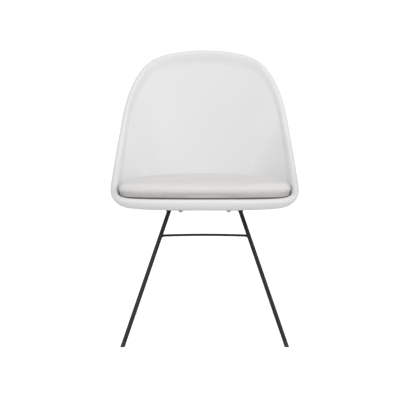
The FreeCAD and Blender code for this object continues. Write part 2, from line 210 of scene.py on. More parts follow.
def new_piece(name: str, verts: np.ndarray | list, faces: list, edges: list | None = None) -> Piece:
    """A smooth-shaded mesh object at the origin.

    Args:
        name: The object's name.
        verts: Vertex places in metres.
        faces: Vertex numbers of each face.
        edges: Loose edges, for a path.

    Returns:
        The object, linked to the scene.
    """
    mesh = bpy.data.meshes.new(name)
    mesh.from_pydata([tuple(v) for v in verts], edges or [], faces)
    mesh.update()
    shade_smooth(mesh)
    return new_object(name, mesh)


def loft_faces(levels: int, count: int) -> list[tuple[int, ...]]:
    """Quads between rings of a loft whose points are numbered ring by ring.

    Args:
        levels: Number of rings.
        count: Points in each ring.

    Returns:
        Vertex numbers of each quad.
    """
    faces = []
    for low in range(0, (levels - 1) * count, count):
        high = low + count
        for i in range(count):
            j = (i + 1) % count
            faces.append((low + i, low + j, high + j, high + i))
    return faces


def closed_loft(name: str, rings: list[np.ndarray]) -> Piece:
    """Closed piece through rings, its two ends filled by shrinking rings.

    Args:
        name: The piece's name.
        rings: Rings of one length, as arrays of rows.

    Returns:
        The piece, with outward normals.
    """
    count = len(rings[0])
    first, final = rings[0].mean(0), rings[-1].mean(0)
    start = [first + (rings[0] - first) * share for share in reversed(CAP_SHARES)]
    finish = [final + (rings[-1] - final) * share for share in CAP_SHARES]
    every = start + list(rings) + finish
    verts = np.vstack(every + [first[None], final[None]])
    faces = loft_faces(len(every), count)
    pole, last = len(verts) - 2, (len(every) - 1) * count
    for i in range(count):
        j = (i + 1) % count
        faces.append((pole, j, i))
        faces.append((pole + 1, last + i, last + j))
    piece = new_piece(name, verts, faces)
    face_outwards(piece)
    return piece


def face_outwards(piece: Piece) -> None:
    """Merge doubles and turn the faces of a closed piece outwards.

    Args:
        piece: The piece.
    """
    work = bmesh.new()
    work.from_mesh(piece.data)
    bmesh.ops.remove_doubles(work, verts=work.verts, dist=1e-6)
    bmesh.ops.recalc_face_normals(work, faces=work.faces)
    work.to_mesh(piece.data)
    work.free()


def turned_ring(
    work: bmesh.types.BMesh, radius: float, height: float, turns: int, place: tuple[float, float] = (0.0, 0.0)
) -> list:
    """Ring of vertices about a vertical axis, or a single one where there is no radius.

    Args:
        work: The bmesh that takes the vertices.
        radius: Radius of the ring.
        height: Height of the ring.
        turns: Number of vertices.
        place: X and Y of the axis.

    Returns:
        The vertices in order.
    """
    if radius < 1e-7:
        return [work.verts.new((place[0], place[1], height))]
    ring = []
    for k in range(turns):
        angle = math.tau * k / turns
        spot = (place[0] + radius * math.cos(angle), place[1] + radius * math.sin(angle), height)
        ring.append(work.verts.new(spot))
    return ring


def bridge(work: bmesh.types.BMesh, lower: list, upper: list) -> None:
    """Join two rings with faces; either may be a single vertex.

    Args:
        work: The bmesh that takes the faces.
        lower: Vertices of the first ring.
        upper: Vertices of the second ring.
    """
    turns = max(len(lower), len(upper))
    for k in range(turns if turns > 1 else 0):
        n = (k + 1) % turns
        corners = (lower[k % len(lower)], lower[n % len(lower)], upper[n % len(upper)], upper[k % len(upper)])
        work.faces.new(list(dict.fromkeys(corners)))


def lathe(
    work: bmesh.types.BMesh, profile: list[tuple[float, float]], place: tuple[float, float], turns: int
) -> None:
    """Add a turned part about a vertical axis to a bmesh.

    Args:
        work: The bmesh that takes the part.
        profile: Radius and height of each point, closed back to the first.
        place: X and Y of the axis.
        turns: Number of flats round the axis.
    """
    rings = [turned_ring(work, radius, height, turns, place) for radius, height in profile]
    for lower, upper in zip(rings, rings[1:] + rings[:1]):
        bridge(work, lower, upper)


def finish_work(name: str, work: bmesh.types.BMesh, sharp: float) -> Piece:
    """Turn a bmesh of closed parts into a piece with crisp edges.

    Args:
        name: The piece's name.
        work: The bmesh, which is freed.
        sharp: Edges steeper than this many degrees stay crisp.

    Returns:
        The piece.
    """
    bmesh.ops.recalc_face_normals(work, faces=work.faces)
    piece = new_piece(name, [], [])
    work.to_mesh(piece.data)
    work.free()
    shade_smooth(piece.data)
    piece.data.set_sharp_from_angle(angle=math.radians(sharp))
    return piece


def declare(piece: Piece, slot: Slot, *replaced: str) -> None:
    """Hang a finished piece on the body, hide the nodes it stands for and log them.

    Args:
        piece: The piece.
        slot: Its material slot; not used.
        *replaced: The nodes, none for a piece of its own.
    """
    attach(piece, BODY)
    if replaced:
        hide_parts(*replaced)
    LOG.info("%s: %d vertices, stands for %s", piece.name, len(piece.data.vertices), replaced or "itself")


def wear(piece: Piece, material: Material) -> None:
    """Give a piece one material."""
    piece.data.materials.clear()
    piece.data.materials.append(material)


# Node trees


class NodeWriter:
    """Writer of the nodes of one tree."""

    def __init__(self, tree: bpy.types.NodeTree) -> None:
        """Keep the tree."""
        self.tree = tree

    def feed(self, entry: Socket, value: object) -> None:
        """Link or set an input.

        Args:
            entry: The input.
            value: The socket that feeds it, or its plain value.
        """
        if isinstance(value, Socket):
            self.tree.links.new(value, entry)
        else:
            entry.default_value = value

    def node(self, kind: str, links: dict | None = None, **settings: object) -> bpy.types.Node:
        """Add a node.

        Args:
            kind: The node's type.
            links: Input name or number to a socket that feeds it or to a plain value.
            **settings: The node's own properties.

        Returns:
            The node.
        """
        made = self.tree.nodes.new(kind)
        for key, value in settings.items():
            setattr(made, key, value)
        for key, value in (links or {}).items():
            self.feed(made.inputs[key], value)
        return made


class GeometryTree(NodeWriter):
    """Writer of one geometry node tree with named inputs."""

    def __init__(self, name: str) -> None:
        """Start a tree with a geometry input and output.

        Args:
            name: The tree's name.
        """
        super().__init__(bpy.data.node_groups.new(name, "GeometryNodeTree"))
        for way in ("INPUT", "OUTPUT"):
            self.tree.interface.new_socket("Geometry", in_out=way, socket_type="NodeSocketGeometry")
        self.entry = self.tree.nodes.new("NodeGroupInput")
        self.exit = self.tree.nodes.new("NodeGroupOutput")

    def size(self, name: str, kind: str = "NodeSocketFloat") -> Socket:
        """Add a named input and return its socket inside the tree."""
        self.tree.interface.new_socket(name, in_out="INPUT", socket_type=kind)
        return self.entry.outputs[name]

    def curve(self) -> Socket:
        """The seed's edges as a curve."""
        return self.node("GeometryNodeMeshToCurve", {"Mesh": self.entry.outputs["Geometry"]}).outputs[0]

    def chance(self, seed: Socket, low: object, high: object) -> Socket:
        """Draw a random value for each point.

        Args:
            seed: The draw's seed.
            low: Least value, or its socket.
            high: Greatest value, or its socket.

        Returns:
            The value.
        """
        draw = self.node("FunctionNodeRandomValue", {"Seed": seed}, data_type="FLOAT")
        bounds = [socket for socket in draw.inputs if socket.type == "VALUE"]
        self.feed(bounds[0], low)
        self.feed(bounds[1], high)
        return [socket for socket in draw.outputs if socket.type == "VALUE"][0]

    def line_up(self, pitch: Socket, shape: Socket, **links: Socket) -> Socket:
        """Put a shape at even steps along the seed's edges, turned with them.

        Args:
            pitch: Length of a step.
            shape: The shape.
            **links: Further inputs of the placing node.

        Returns:
            The instances.
        """
        spots = self.node("GeometryNodeCurveToPoints", {"Curve": self.curve(), "Length": pitch}, mode="LENGTH")
        placed = {"Points": spots.outputs["Points"], "Instance": shape, "Rotation": spots.outputs["Rotation"]}
        return self.node("GeometryNodeInstanceOnPoints", {**placed, **links}).outputs[0]

    def close(self, geometry: Socket, smooth: bool = True) -> None:
        """End the tree in Realize Instances and Set Material.

        Args:
            geometry: What the tree has made.
            smooth: Whether it is shaded smooth first.
        """
        if smooth:
            geometry = self.node("GeometryNodeSetShadeSmooth", {"Geometry": geometry}).outputs[0]
        real = self.node("GeometryNodeRealizeInstances", {"Geometry": geometry})
        finish = self.size("Finish", "NodeSocketMaterial")
        dressed = self.node("GeometryNodeSetMaterial", {"Geometry": real.outputs[0], "Material": finish})
        self.tree.links.new(dressed.outputs[0], self.exit.inputs[0])

    def grow(self, name: str, seed: Piece, sizes: dict[str, object]) -> Piece:
        """Run the tree on a seed object and keep the result as a plain mesh.

        Args:
            name: The new piece's name.
            seed: The object that carries the path or points; it is removed.
            sizes: Value of each named input.

        Returns:
            The plain mesh piece.
        """
        modifier = seed.modifiers.new("grow", "NODES")
        modifier.node_group = self.tree
        for item in self.tree.interface.items_tree:
            if item.in_out == "INPUT" and item.name in sizes:
                modifier[item.identifier] = sizes[item.name]
        graph = bpy.context.evaluated_depsgraph_get()
        mesh = bpy.data.meshes.new_from_object(seed.evaluated_get(graph), depsgraph=graph)
        mesh.name = name
        seed.modifiers.remove(modifier)
        bpy.data.objects.remove(seed)
        return new_object(name, mesh)


def rod_tree() -> GeometryTree:
    """Tree that sweeps a round rod along a path.

    Returns:
        The tree.
    """
    tree = GeometryTree("bent_rod")
    radius = tree.size("Rod Radius")
    flats = tree.size("Flats", "NodeSocketInt")
    section = tree.node("GeometryNodeCurvePrimitiveCircle", {"Resolution": flats, "Radius": radius})
    links = {"Curve": tree.curve(), "Profile Curve": section.outputs[0], "Fill Caps": True}
    tree.close(tree.node("GeometryNodeCurveToMesh", links).outputs[0])
    return tree


def bead_tree() -> GeometryTree:
    """Tree that lays overlapping ripples of weld metal along lines.

    Returns:
        The tree.
    """
    tree = GeometryTree("weld_ripples")
    pitch = tree.size("Ripple Pitch")
    radius = tree.size("Bead Radius")
    seed = tree.size("Seed", "NodeSocketInt")
    ripple = tree.node("GeometryNodeMeshIcoSphere", {"Radius": radius, "Subdivisions": 2})
    placed = tree.line_up(pitch, ripple.outputs["Mesh"], Scale=tree.chance(seed, *RIPPLE_SIZES))
    tree.close(tree.node("GeometryNodeScaleInstances", {"Instances": placed, "Scale": RIPPLE_SQUASH}).outputs[0])
    return tree


def stitch_tree() -> GeometryTree:
    """Tree that lays thread stitches along a closed line.

    Returns:
        The tree.
    """
    tree = GeometryTree("seam_stitches")
    pitch = tree.size("Stitch Pitch")
    length = tree.size("Stitch Length")
    radius = tree.size("Thread Radius")
    sizes = {"Vertices": 7, "Side Segments": 3, "Fill Segments": 1, "Radius": radius, "Depth": length}
    tree.close(tree.line_up(pitch, tree.node("GeometryNodeMeshCylinder", sizes).outputs["Mesh"]))
    return tree


def fastener_tree() -> GeometryTree:
    """Tree that puts one fastener on every point, each turned by its own angle.

    Returns:
        The tree.
    """
    tree = GeometryTree("fastener_set")
    part = tree.size("Fastener", "NodeSocketObject")
    most = tree.size("Most Turn")
    seed = tree.size("Seed", "NodeSocketInt")
    points = tree.node("GeometryNodeMeshToPoints", {"Mesh": tree.entry.outputs["Geometry"]})
    shape = tree.node("GeometryNodeObjectInfo", {"Object": part})
    turn = tree.node("ShaderNodeCombineXYZ", {"Z": tree.chance(seed, 0.0, most)})
    links = {"Points": points.outputs[0], "Instance": shape.outputs["Geometry"], "Rotation": turn.outputs[0]}
    tree.close(tree.node("GeometryNodeInstanceOnPoints", links).outputs[0], smooth=False)
    return tree


# Finishes


class Nodes(NodeWriter):
    """Writer of the nodes of one material."""

    def __init__(self, name: str, colour: Triple, roughness: float, metallic: float = 0.0) -> None:
        """Start a material with its uniform values set on the shader's own sockets.

        Args:
            name: The material's name.
            colour: Its base colour.
            roughness: Its roughness.
            metallic: How metallic it is.
        """
        self.material = bpy.data.materials.new(name)
        self.material.use_nodes = True
        super().__init__(self.material.node_tree)
        self.shader = self.tree.nodes["Principled BSDF"]
        self.surface("Base Color", (*colour, 1))
        self.surface("Roughness", roughness)
        self.surface("Metallic", metallic)
        self.place = self.node("ShaderNodeTexCoord").outputs["Object"]
        self.bump: Socket | None = None

    def surface(self, name: str, value: object) -> None:
        """Link or set one of the shader's own inputs."""
        self.feed(self.shader.inputs[name], value)

    def height(self) -> Socket:
        """Height above the floor."""
        return self.node("ShaderNodeSeparateXYZ", {0: self.place}).outputs["Z"]

    def stretched(self, scale: Triple) -> Socket:
        """Object coordinates stretched along the axes."""
        return self.node("ShaderNodeMapping", {"Vector": self.place, "Scale": scale}).outputs[0]

    def noise(self, scale: float, detail: float = 3.0, place: Socket | None = None) -> Socket:
        """Value of a noise pattern."""
        links = {"Vector": place or self.place, "Scale": scale, "Detail": detail}
        return self.node("ShaderNodeTexNoise", links).outputs[0]

    def cells(self, scale: float, feature: str = "F1") -> Socket:
        """Distance value of a cell pattern."""
        links = {"Vector": self.place, "Scale": scale}
        return self.node("ShaderNodeTexVoronoi", links, feature=feature).outputs["Distance"]

    def sum(self, kind: str, a: object, b: object = 0.0, c: object = 0.0) -> Socket:
        """Result of a math node."""
        return self.node("ShaderNodeMath", {0: a, 1: b, 2: c}, operation=kind).outputs[0]

    def spread(self, value: Socket, low: float, high: float, to_low: float = 0.0, to_high: float = 1.0) -> Socket:
        """Value moved from one range to another, and held inside it."""
        links = {"Value": value, "From Min": low, "From Max": high, "To Min": to_low, "To Max": to_high}
        return self.node("ShaderNodeMapRange", links).outputs["Result"]

    def tint(self, share: Socket, first: Triple, second: Triple | Socket) -> Socket:
        """Vary the base colour between two colours.

        Args:
            share: Share of the second colour.
            first: The first colour.
            second: The second colour, or the socket that has it.

        Returns:
            The varied colour.
        """
        mix = self.node("ShaderNodeMix", {0: share}, data_type="RGBA")
        self.feed(mix.inputs[6], (*first, 1))
        self.feed(mix.inputs[7], second if isinstance(second, Socket) else (*second, 1))
        self.surface("Base Color", mix.outputs[2])
        return mix.outputs[2]

    def rough(self, value: Socket, low: float, high: float) -> None:
        """Vary the roughness between two values."""
        self.surface("Roughness", self.spread(value, 0.3, 0.7, low, high))

    def raise_by(self, height: Socket, distance: float, strength: float = 1.0) -> None:
        """Add a bump to the surface, on top of the earlier ones.

        Args:
            height: Height pattern.
            distance: Its full height in metres.
            strength: Share of it that shows.
        """
        links = {"Height": height, "Distance": distance, "Strength": strength}
        if self.bump is not None:
            links["Normal"] = self.bump
        self.bump = self.node("ShaderNodeBump", links).outputs[0]
        self.surface("Normal", self.bump)


@dataclass(frozen=True)
class MouldedPlastic:
    """Satin white injection moulding with a fine spark grain and a parting line round the rim."""

    name: str = "moulded_plastic_white"
    colour: Triple = (0.840, 0.842, 0.848)
    shade: Triple = (0.815, 0.817, 0.822)

    def material(self) -> Material:
        """Build the material.

        Returns:
            The material.
        """
        nodes = Nodes(self.name, self.colour, 0.4)
        nodes.tint(nodes.spread(nodes.noise(2.3, 2.0), 0.35, 0.7), self.colour, self.shade)
        nodes.rough(nodes.noise(34.0, 5.0), 0.36, 0.47)
        nodes.raise_by(nodes.noise(5.0, 1.0), 0.0009, 0.25)
        nodes.raise_by(nodes.noise(950.0, 4.0), 0.00010, 0.55)
        turn = nodes.node("ShaderNodeAttribute", attribute_name="rim_turn").outputs["Fac"]
        ridge = nodes.spread(nodes.sum("ABSOLUTE", turn), 0.0, 0.06, 1.0, 0.0)
        nodes.raise_by(ridge, 0.00018, 0.6)
        nodes.surface("Subsurface Weight", 0.06)
        nodes.surface("Subsurface Radius", (0.006, 0.005, 0.004))
        return nodes.material


@dataclass(frozen=True)
class Leatherette:
    """White coated fabric with pebble grain, soft creases and a sunk seam, its lowest edge painted dark as shade
    for the shadowed gap above the shell's lip.
    """

    name: str = "leatherette_white"
    colour: Triple = (0.800, 0.790, 0.778)
    shade: Triple = (0.765, 0.755, 0.740)
    # Painted shade: below this height the cover turns near-black, standing in for the shadow in the gap between
    # pad and shell lip
    painted_gap_shade: Triple = (0.19, 0.185, 0.18)
    seam_height: float = 0.4265
    gap_shade_height: float = 0.4188
    gap_shade_blend: float = 0.0006

    def material(self) -> Material:
        """Build the material.

        Returns:
            The material.
        """
        nodes = Nodes(self.name, self.colour, 0.45)
        upper = nodes.tint(nodes.spread(nodes.noise(9.0, 4.0), 0.35, 0.7), self.colour, self.shade)
        height = nodes.height()
        # Painted shade: darken the cover below the band's height, for the shadowed gap between pad and lip
        edge, blend = self.gap_shade_height, self.gap_shade_blend
        nodes.tint(nodes.spread(height, edge - blend, edge + blend), self.painted_gap_shade, upper)
        nodes.rough(nodes.noise(60.0, 4.0), 0.38, 0.52)
        creases = nodes.noise(26.0, 3.0, nodes.stretched((0.5, 1.6, 1.6)))
        nodes.raise_by(nodes.spread(creases, 0.42, 0.62), 0.0007, 0.35)
        nodes.raise_by(nodes.spread(nodes.cells(760.0), 0.0, 0.6, 1.0, 0.0), 0.00022, 0.75)
        nodes.raise_by(nodes.noise(1900.0, 2.0), 0.00005, 0.6)
        away = nodes.sum("ABSOLUTE", nodes.sum("SUBTRACT", height, self.seam_height))
        nodes.raise_by(nodes.spread(away, 0.0, 0.0012), 0.0006, 0.6)
        return nodes.material


@dataclass(frozen=True)
class PowderCoat:
    """Charcoal powder coat with its orange peel."""

    name: str = "powder_coat_charcoal"
    colour: Triple = (0.010, 0.0102, 0.0105)
    fleck: Triple = (0.018, 0.0185, 0.019)

    def material(self) -> Material:
        """Build the material.

        Returns:
            The material.
        """
        nodes = Nodes(self.name, self.colour, 0.42)
        nodes.surface("Specular IOR Level", 0.36)
        nodes.tint(nodes.spread(nodes.noise(900.0, 2.0), 0.5, 0.75), self.colour, self.fleck)
        nodes.rough(nodes.noise(120.0, 4.0), 0.36, 0.5)
        nodes.raise_by(nodes.noise(520.0, 3.0), 0.00014, 0.6)
        nodes.raise_by(nodes.noise(1700.0, 2.0), 0.00004, 0.5)
        return nodes.material


@dataclass(frozen=True)
class PlatedMetal:
    """Plated or turned metal with faint streaks."""

    name: str
    colour: Triple
    shade: Triple
    low: float = 0.26
    high: float = 0.42

    def material(self) -> Material:
        """Build the material.

        Returns:
            The material.
        """
        nodes = Nodes(self.name, self.colour, self.low, 1.0)
        nodes.tint(nodes.spread(nodes.noise(240.0, 5.0), 0.35, 0.7), self.colour, self.shade)
        nodes.rough(nodes.noise(420.0, 4.0), self.low, self.high)
        nodes.raise_by(nodes.noise(1500.0, 3.0), 0.00003, 0.5)
        return nodes.material


@dataclass(frozen=True)
class SmallPlastic:
    """Plain moulded plastic of the small parts, scuffed near the floor."""

    name: str
    colour: Triple
    scuff: Triple
    roughness: float = 0.5

    def material(self) -> Material:
        """Build the material.

        Returns:
            The material.
        """
        nodes = Nodes(self.name, self.colour, self.roughness)
        height = nodes.height()
        low = nodes.spread(height, 0.0, 0.004, 1.0, 0.12)
        marks = nodes.spread(nodes.noise(700.0, 5.0, nodes.stretched((1.0, 0.3, 0.3))), 0.48, 0.62, 0.0, 1.0)
        nodes.tint(nodes.sum("MULTIPLY", low, marks), self.colour, self.scuff)
        nodes.rough(nodes.noise(300.0, 3.0), self.roughness - 0.06, self.roughness + 0.1)
        nodes.raise_by(nodes.noise(1100.0, 3.0), 0.00008, 0.6)
        return nodes.material


@dataclass(frozen=True)
class OpenCellFoam:
    """Cut polyurethane foam."""

    name: str = "foam_open_cell"
    colour: Triple = (0.78, 0.74, 0.60)
    pore: Triple = (0.60, 0.55, 0.42)

    def material(self) -> Material:
        """Build the material.

        Returns:
            The material.
        """
        nodes = Nodes(self.name, self.colour, 0.9)
        cell = nodes.cells(620.0)
        nodes.tint(nodes.spread(cell, 0.1, 0.5, 1.0, 0.0), self.colour, self.pore)
        nodes.raise_by(cell, 0.0006, 0.9)
        return nodes.material


@dataclass(frozen=True)
class WovenLining:
    """Plain-weave lining cloth."""

    name: str
    colour: Triple
    shade: Triple
    pitch: float = 0.0007

    def material(self) -> Material:
        """Build the material.

        Returns:
            The material.
        """
        nodes = Nodes(self.name, self.colour, 0.85)
        parts = nodes.node("ShaderNodeSeparateXYZ", {0: nodes.place})
        warp = nodes.sum("SINE", nodes.sum("MULTIPLY", parts.outputs["X"], math.tau / self.pitch))
        weft = nodes.sum("SINE", nodes.sum("MULTIPLY", parts.outputs["Y"], math.tau / self.pitch))
        weave = nodes.sum("MULTIPLY", warp, weft)
        nodes.tint(nodes.spread(weave, -1.0, 1.0), self.colour, self.shade)
        nodes.raise_by(weave, 0.00012, 0.8)
        nodes.raise_by(nodes.noise(45.0, 3.0), 0.0006, 0.3)
        nodes.surface("Sheen Weight", 0.2)
        return nodes.material


@dataclass(frozen=True)
class PaleFloor:
    """Plain pale studio floor."""

    name: str = "studio_floor"
    colour: Triple = (0.90, 0.88, 0.86)
    glow: float = 0.52

    def material(self) -> Material:
        """Build the material.

        Returns:
            The material.
        """
        nodes = Nodes(self.name, self.colour, 0.8)
        nodes.surface("Specular IOR Level", 0.0)
        nodes.surface("Emission Color", (1, 1, 1, 1))
        seen = nodes.node("ShaderNodeLightPath").outputs["Is Camera Ray"]
        nodes.surface("Emission Strength", nodes.sum("MULTIPLY", seen, self.glow))
        return nodes.material


class Finishes:
    """Every finish of the chair, built once."""

    def __init__(self) -> None:
        """Build the materials."""
        self.shell = MouldedPlastic().material()
        self.cover = Leatherette().material()
        self.powder = PowderCoat().material()
        self.zinc = PlatedMetal("zinc_plate", (0.66, 0.68, 0.70), (0.52, 0.53, 0.55)).material()
        self.brass = PlatedMetal("brass_turned", (0.76, 0.57, 0.28), (0.62, 0.44, 0.20)).material()
        self.glide = SmallPlastic("glide_plastic", (0.016, 0.016, 0.017), (0.075, 0.073, 0.070)).material()
        self.spacer = SmallPlastic("spacer_plastic", (0.36, 0.37, 0.38), (0.30, 0.31, 0.32), 0.45).material()
        self.foam = OpenCellFoam().material()
        self.lining = WovenLining("lining_cloth", (0.62, 0.62, 0.61), (0.50, 0.50, 0.49)).material()
        self.hooks = WovenLining("hook_and_loop", (0.70, 0.70, 0.70), (0.42, 0.42, 0.42), 0.0011).material()
        self.thread = WovenLining("seam_thread", (0.74, 0.735, 0.72), (0.64, 0.635, 0.62), 0.0004).material()


# The moulded seat shell


@dataclass
class SeatShell:
    """One moulded bucket: flat pan, rising wall, thick rolled rim, four bosses below."""

    half_width: float = 0.2615
    front: float = -0.240
    back: float = 0.240
    low: float = 0.405
    high: float = 0.840
    pan_level: float = 0.383
    pan_half_width: float = 0.145
    pan_front: float = -0.170
    pan_back: float = 0.095
    wall: float = 0.006
    bead: float = 0.020
    bead_blend: float = 0.036
    lean_back: float = 13.0
    lean_side: float = 30.0
    lean_front: float = -12.0
    fullness_back: float = 0.62
    fullness_front: float = 0.90
    wall_fullness: float = 0.62
    columns: int = 192
    wall_levels: int = 22
    curve_steps: int = 161
    bead_distances: tuple = (0.030, 0.024, 0.018, 0.012, 0.006, 0.0)
    bead_step: int = 15
    boss_radius: float = 0.012
    boss_face: float = 0.372
    boss_fillet: float = 0.003
    boss_edge: float = 0.0006
    boss_sink: float = 0.001
    boss_flats: int = 40
    gate_radius: float = 0.003
    gate_flat_share: float = 0.8
    gate_rise: float = 0.0006
    gate_flats: int = 20
    boss_places: tuple = ((-0.07, -0.06), (0.07, -0.06), (-0.07, 0.06), (0.07, 0.06))
    stations: tuple = (
        (0.000, 0.000, 0.000),
        (0.380, 0.005, 0.000),
        (0.700, 0.027, 0.001),
        (0.872, 0.066, 0.008),
        (0.954, 0.130, 0.028),
        (0.986, 0.215, 0.060),
        (0.997, 0.330, 0.107),
        (1.000, 0.460, 0.168),
        (0.991, 0.600, 0.281),
        (0.963, 0.710, 0.420),
        (0.918, 0.800, 0.590),
        (0.797, 0.892, 0.800),
        (0.612, 0.954, 0.930),
        (0.326, 0.989, 0.984),
        (0.000, 1.000, 1.000),
    )
    outward: np.ndarray = field(init=False, repr=False)
    inner: np.ndarray = field(init=False, repr=False)
    rim: np.ndarray = field(init=False, repr=False)
    rim_direction: np.ndarray = field(init=False, repr=False)

    def rim_line(self) -> np.ndarray:
        """Evenly spaced points on the middle of the rim bead, from the front middle round by +X.

        Returns:
            The points as rows.
        """
        deep, tall = self.back - self.front, self.high - self.low
        side = [(a * self.half_width, self.front + b * deep, self.low + c * tall) for a, b, c in self.stations]
        other = [(-x, y, z) for x, y, z in reversed(side[1:-1])]
        return closed_spline(np.array(side + other), self.columns)

    def wall_line(self, shares: list[tuple[float, float | None]]) -> tuple[np.ndarray, np.ndarray]:
        """Middle of the wall from the pan to the rim.

        Args:
            shares: Share of each column's length before the rim blend begins, or distance to the rim, by level.

        Returns:
            Points by level and column, and their distances to the rim.
        """
        rim = self.rim
        across = rim[:, 0] / self.half_width
        along = rim[:, 1] / self.back
        middle = (self.pan_front + self.pan_back) / 2
        reach_y = (self.pan_back - self.pan_front) / 2
        start = np.stack(
            [across * self.pan_half_width, middle + along * reach_y, np.full(len(rim), self.pan_level)], axis=1
        )
        run = (rim - start) * (1, 1, 0)
        length = np.linalg.norm(run, axis=1, keepdims=True)
        self.outward = run / length
        side_share, end_share = self.outward[:, 0] ** 2, self.outward[:, 1] ** 2
        lean_along = np.where(self.outward[:, 1] > 0, self.lean_back, self.lean_front)
        lean = np.radians(self.lean_side * side_share + lean_along * end_share)[:, None]
        self.rim_direction = self.outward * np.sin(lean) + UP * np.cos(lean)
        reach = self.wall_fullness * (rim[:, 2:] - self.pan_level) / np.cos(lean)
        forward = smooth_step((1 - self.outward[:, 1:2]) / 2)
        fullness = self.fullness_back + (self.fullness_front - self.fullness_back) * forward
        poles = (start, start + self.outward * fullness * length, rim - self.rim_direction * reach, rim)
        t = np.linspace(0, 1, self.curve_steps)[:, None, None]
        curve = poles[0] * (1 - t) ** 3 + 3 * poles[1] * (1 - t) ** 2 * t
        curve = curve + 3 * poles[2] * (1 - t) * t**2 + poles[3] * t**3
        steps = np.linalg.norm(np.diff(curve, axis=0), axis=2)
        lengths = np.concatenate([np.zeros((1, len(rim))), np.cumsum(steps, axis=0)])
        total = lengths[-1]
        points, distances = [], []
        for share, distance in shares:
            wanted = share * (total - self.bead_blend) if distance is None else total - distance
            level = []
            for i in range(len(rim)):
                level.append([np.interp(wanted[i], lengths[:, i], curve[:, i, axis]) for axis in range(3)])
            points.append(level)
            distances.append(total - wanted)
        return np.array(points), np.array(distances)

    def rings(self) -> tuple[list[np.ndarray], list[float]]:
        """Rings of the outer skin, the bead and the inner skin, and each ring's turn about the bead.

        Returns:
            The rings and their turns.
        """
        self.rim = self.rim_line()
        shares = [(share, None) for share in np.linspace(0, 1, self.wall_levels)]
        shares += [(1.0, distance) for distance in self.bead_distances]
        points, distances = self.wall_line(shares)
        along = np.roll(points, -1, 1) - np.roll(points, 1, 1)
        above = np.concatenate([points[1:], points[-1:]])
        below = np.concatenate([points[:1], points[:-1]])
        normals = unit(np.cross(above - below, along))
        normals[0] = UP
        swell = smooth_step(1 - distances / self.bead_blend)
        half = (self.wall / 2 + (self.bead - self.wall) / 2 * swell)[..., None]
        outer, self.inner = points - normals * half, points + normals * half
        rim_along = unit(along[-1])
        normal = normals[-1]
        out = self.rim_direction - rim_along * np.sum(self.rim_direction * rim_along, 1, keepdims=True)
        out = unit(out - normal * np.sum(out * normal, 1, keepdims=True))
        rings, turns = list(outer), [OFF_RIM] * len(outer)
        turns[-1] = -1.0
        for degrees in range(self.bead_step - 90, 90, self.bead_step):
            turn = math.radians(degrees)
            rings.append(self.rim + (out * math.cos(turn) + normal * math.sin(turn)) * self.bead / 2)
            turns.append(degrees / 90)
        rings += list(self.inner[::-1])
        turns += [1.0] + [OFF_RIM] * (len(self.inner) - 1)
        return rings, turns

    def add_bosses(self, piece: Piece) -> None:
        """Add the bosses and the mark of the injection gate below the pan.

        Args:
            piece: The shell.
        """
        work = bmesh.new()
        work.from_mesh(piece.data)
        skin = self.pan_level - self.wall / 2
        top = skin + self.boss_sink
        radius, face, fillet, edge = self.boss_radius, self.boss_face, self.boss_fillet, self.boss_edge
        profile = [(0.0, face), (radius - edge, face), (radius, face + edge)]
        for k in range(6):
            turn = math.radians(90 * k / 5)
            profile.append((radius + fillet * (1 - math.cos(turn)), skin - fillet + fillet * math.sin(turn)))
        profile += [(radius + fillet, top), (0.0, top)]
        for place in self.boss_places:
            lathe(work, profile, place, self.boss_flats)
        gate, face = self.gate_radius, skin - self.gate_rise
        profile = [(0.0, face), (gate * self.gate_flat_share, face), (gate, top), (0.0, top)]
        lathe(work, profile, (0.0, (self.pan_front + self.pan_back) / 2), self.gate_flats)
        work.to_mesh(piece.data)
        work.free()
        shade_smooth(piece.data)

    def build(self, finishes: Finishes) -> Piece:
        """Make and dress the shell.

        Args:
            finishes: Finishes of the chair.

        Returns:
            The shell.
        """
        rings, turns = self.rings()
        piece = closed_loft("shell_bucket", rings)
        cap = [OFF_RIM] * (len(CAP_SHARES) * self.columns)
        values = cap + [turn for turn in turns for _ in range(self.columns)] + cap + [OFF_RIM] * 2
        attribute = piece.data.attributes.new("rim_turn", "FLOAT", "POINT")
        attribute.data.foreach_set("value", values[: len(piece.data.vertices)])
        self.add_bosses(piece)
        subdivide(piece)
        wear(piece, finishes.shell)
        declare(piece, Slot.SHELL, "seat_shell")
        return piece


# The seat cushion


